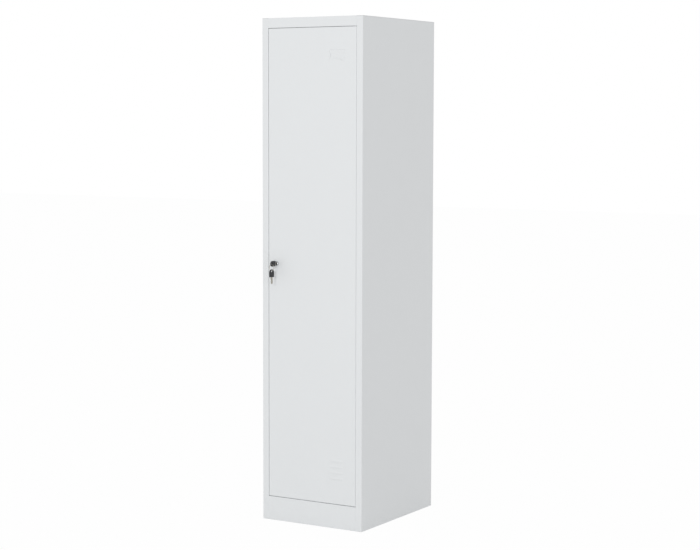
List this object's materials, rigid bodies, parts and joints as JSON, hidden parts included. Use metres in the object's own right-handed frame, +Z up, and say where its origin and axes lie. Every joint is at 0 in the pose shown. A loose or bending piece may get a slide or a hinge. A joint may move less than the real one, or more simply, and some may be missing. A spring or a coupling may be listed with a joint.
{
  "type": "one-door steel locker",
  "caption": "Tall folded-sheet steel locker with a flush pivot-hung door, cam lock with keys on a ring, label holder, louvres, hat shelf and coat rail.",
  "frame": {"origin": "on the floor, under the middle of the whole outline, keys included", "axes": "+Z up, +X to the right as seen from the front, +Y from the front to the back"},
  "size_m": [0.415, 0.5541, 1.8],
  "materials": {
    "paint": "light grey powder coat, fine orange peel, satin",
    "zinc": "bright zinc plate",
    "chrome": "polished chrome plate",
    "nickel": "nickel plate, drawn",
    "black_plastic": "moulded, fine grain",
    "nylon": "natural nylon",
    "rubber": "matt moulded rubber"
  },
  "bodies": {
    "cabinet": {"left_side_panel": "paint", "right_side_panel": "paint", "left_stile": "paint", "right_stile": "paint", "left_rear_post": "paint", "right_rear_post": "paint", "left_door_stop": "paint", "right_door_stop": "paint", "back_panel": "paint", "top_panel": "paint", "plinth": "paint", "floor_panel": "paint", "back_screw_left_1": "zinc", "back_screw_left_2": "zinc", "back_screw_left_3": "zinc", "back_screw_right_1": "zinc", "back_screw_right_2": "zinc", "back_screw_right_3": "zinc", "upper_door_buffer": "rubber", "lower_door_buffer": "rubber", "shelf": "paint", "left_shelf_runner": "paint", "right_shelf_runner": "paint", "shelf_screw_left_1": "zinc", "shelf_screw_left_2": "zinc", "shelf_screw_right_1": "zinc", "shelf_screw_right_2": "zinc", "left_rail_socket": "zinc", "right_rail_socket": "zinc", "coat_rail": "chrome", "upper_frame_hinge_plate": "paint", "lower_frame_hinge_plate": "paint", "upper_hinge_pin": "zinc", "lower_hinge_pin": "zinc"},
    "door": {"door_panel": "paint", "door_stiffener": "paint", "upper_door_hinge_plate": "paint", "lower_door_hinge_plate": "paint", "upper_hinge_bush": "nylon", "lower_hinge_bush": "nylon", "lock_housing": "chrome", "lock_nut": "zinc"},
    "lock": {"lock_plug": "chrome", "lock_cam": "zinc", "cam_washer": "zinc", "cam_screw": "zinc"},
    "key": {"lock_key_head": "black_plastic", "lock_key_blade": "nickel"},
    "ring": {"key_ring": "nickel"},
    "spare_key": {"spare_key_head": "black_plastic", "spare_key_blade": "nickel"}
  },
  "joints": [
    {"name": "door_hinge", "type": "hinge", "parent": "cabinet", "child": "door", "pos_m": [0.17382, -0.23045, 0.9], "axis": [0, 0, 1], "range_deg": [0, 115]},
    {"name": "lock_turn", "type": "hinge", "parent": "door", "child": "lock", "pos_m": [-0.148, -0.23495, 0.932], "axis": [0, 1, 0], "range_deg": [0, 90]},
    {"name": "key_withdraw", "type": "slide", "parent": "lock", "child": "key", "axis": [0, -1, 0], "range_m": [0, 0.03]},
    {"name": "ring_swing", "type": "hinge", "parent": "key", "child": "ring", "pos_m": [-0.148, -0.26695, 0.92905], "axis": [1, 0, 0], "range_deg": [-60, 12]},
    {"name": "spare_key_swing", "type": "hinge", "parent": "ring", "child": "spare_key", "pos_m": [-0.148, -0.26695, 0.90905], "axis": [1, 0, 0], "range_deg": [-60, 12]}
  ]
}
